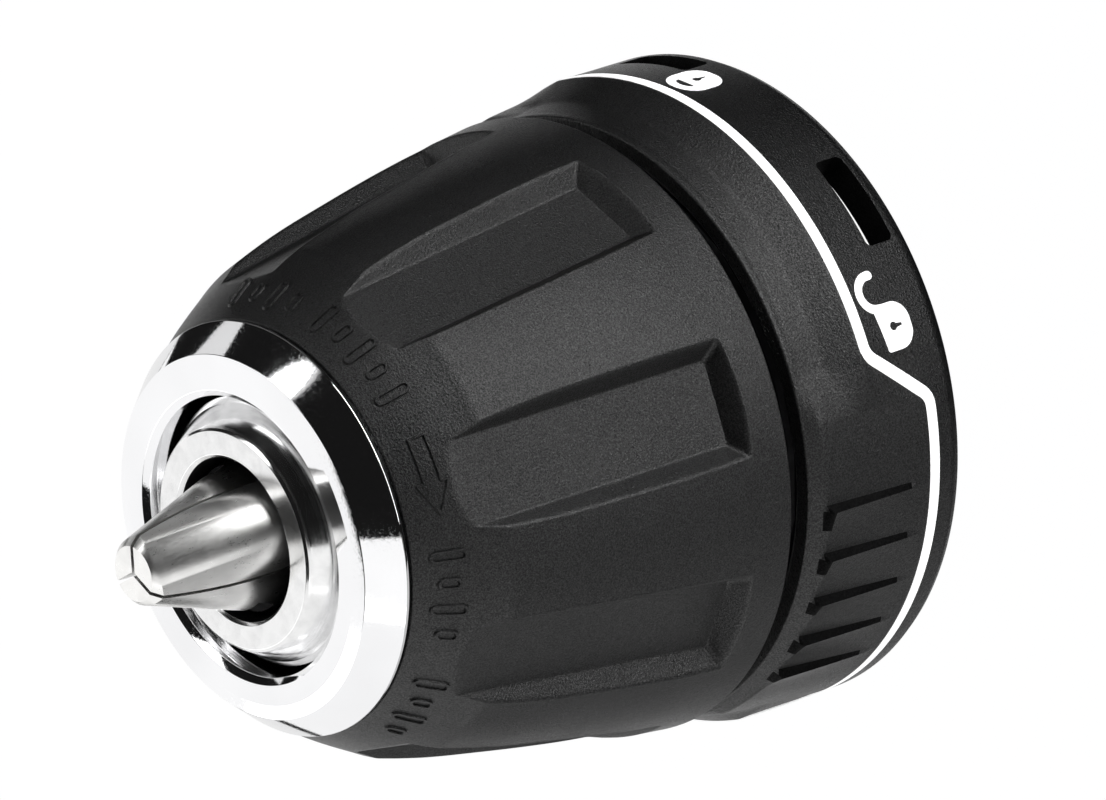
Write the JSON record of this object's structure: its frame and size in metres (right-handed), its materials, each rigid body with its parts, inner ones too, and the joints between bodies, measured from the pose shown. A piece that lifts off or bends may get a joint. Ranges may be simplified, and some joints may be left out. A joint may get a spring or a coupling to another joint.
{
  "type": "drill chuck",
  "caption": "Keyless drill chuck: ribbed black grip sleeve, bright nose ring, closed steel jaws and a lock ring with windows and a white line at the rear.",
  "frame": {"origin": "centre of the lock ring's rear rim, on the spindle axis", "axes": "+Z along the spindle axis towards the jaw tips; -Y is the side with the unlock mark, about where the first jaw faces"},
  "size_m": [0.0478, 0.0478, 0.056],
  "materials": {
    "black_plastic": "fine-grained matte",
    "ring_plastic": "fine-grained matte with white print",
    "chrome": "polished",
    "nose_steel": "fine turned",
    "jaw_steel": "satin ground",
    "bearing_steel": "ground",
    "spring_steel": "tempered",
    "die_cast": "die cast",
    "brass": "satin",
    "black_steel": "black oxide"
  },
  "bodies": {
    "housing": {"adapter_housing": "die_cast", "base_plate": "die_cast", "base_screw_1": "black_steel", "base_screw_2": "black_steel", "base_screw_3": "black_steel", "base_screw_4": "black_steel", "bearing_outer_race": "bearing_steel", "detent_spring_1": "spring_steel", "detent_spring_2": "spring_steel"},
    "lock_ring": {"lock_ring": "ring_plastic", "bayonet_ring": "bearing_steel"},
    "detent_1": {"detent_ball_1": "bearing_steel"},
    "detent_2": {"detent_ball_2": "bearing_steel"},
    "spindle": {"spindle": "bearing_steel", "bearing_inner_race": "bearing_steel", "spindle_circlip": "spring_steel", "chuck_body": "nose_steel", "chuck_screw": "black_steel", "ratchet_ring": "bearing_steel", "thrust_washer_rear": "bearing_steel"},
    "bearing_cage": {"bearing_cage": "brass", "bearing_ball_1": "bearing_steel", "bearing_ball_2": "bearing_steel", "bearing_ball_3": "bearing_steel", "bearing_ball_4": "bearing_steel", "bearing_ball_5": "bearing_steel", "bearing_ball_6": "bearing_steel", "bearing_ball_7": "bearing_steel"},
    "sleeve": {"grip_sleeve": "black_plastic", "nose_ring": "chrome", "jaw_nut_a": "bearing_steel", "jaw_nut_b": "bearing_steel", "nut_band": "spring_steel", "pawl_spring": "spring_steel", "thrust_washer_front": "bearing_steel", "sleeve_snap_ring": "spring_steel", "dust_shield": "ring_plastic"},
    "thrust_cage": {"thrust_cage": "brass", "thrust_ball_1": "bearing_steel", "thrust_ball_2": "bearing_steel", "thrust_ball_3": "bearing_steel", "thrust_ball_4": "bearing_steel", "thrust_ball_5": "bearing_steel", "thrust_ball_6": "bearing_steel", "thrust_ball_7": "bearing_steel", "thrust_ball_8": "bearing_steel"},
    "jaw_1": {"jaw_1": "jaw_steel"},
    "jaw_2": {"jaw_2": "jaw_steel"},
    "jaw_3": {"jaw_3": "jaw_steel"}
  },
  "joints": [
    {"name": "spindle_turn", "type": "hinge", "parent": "housing", "child": "spindle", "pos_m": [0, 0, 0.0093], "axis": [0, 0, 1], "continuous": true},
    {"name": "bearing_cage_turn", "type": "hinge", "parent": "housing", "child": "bearing_cage", "pos_m": [0, 0, 0.0093], "axis": [0, 0, 1], "continuous": true},
    {"name": "lock_ring_turn", "type": "hinge", "parent": "housing", "child": "lock_ring", "pos_m": [0, 0, 0.0092], "axis": [0, 0, 1], "range_deg": [0, 59]},
    {"name": "detent_1_press", "type": "slide", "parent": "housing", "child": "detent_1", "axis": [-1, 0, 0], "range_m": [0, 0.0004], "stiffness_N_per_m": 300, "springref_m": -0.0005},
    {"name": "detent_2_press", "type": "slide", "parent": "housing", "child": "detent_2", "axis": [1, 0, 0], "range_m": [0, 0.0004], "stiffness_N_per_m": 300, "springref_m": -0.0005},
    {"name": "sleeve_turn", "type": "hinge", "parent": "spindle", "child": "sleeve", "pos_m": [0, 0, 0.026], "axis": [0, 0, 1], "range_deg": [0, 2664]},
    {"name": "thrust_cage_turn", "type": "hinge", "parent": "spindle", "child": "thrust_cage", "pos_m": [0, 0, 0.026], "axis": [0, 0, 1], "range_deg": [0, 1332]},
    {"name": "jaw_1_slide", "type": "slide", "parent": "spindle", "child": "jaw_1", "axis": [0.0537, -0.3043, -0.9511], "range_m": [0, 0.0148]},
    {"name": "jaw_2_slide", "type": "slide", "parent": "spindle", "child": "jaw_2", "axis": [0.2367, 0.1986, -0.9511], "range_m": [0, 0.0148]},
    {"name": "jaw_3_slide", "type": "slide", "parent": "spindle", "child": "jaw_3", "axis": [-0.2904, 0.1057, -0.9511], "range_m": [0, 0.0148]}
  ],
  "couplings": [
    {"joint": "bearing_cage_turn", "follows": "spindle_turn", "ratio": 0.41},
    {"joint": "thrust_cage_turn", "follows": "sleeve_turn", "ratio": 0.5},
    {"joint": "jaw_1_slide", "follows": "sleeve_turn", "m_per_rad": 0.00031831},
    {"joint": "jaw_2_slide", "follows": "sleeve_turn", "m_per_rad": 0.00031831},
    {"joint": "jaw_3_slide", "follows": "sleeve_turn", "m_per_rad": 0.00031831}
  ]
}
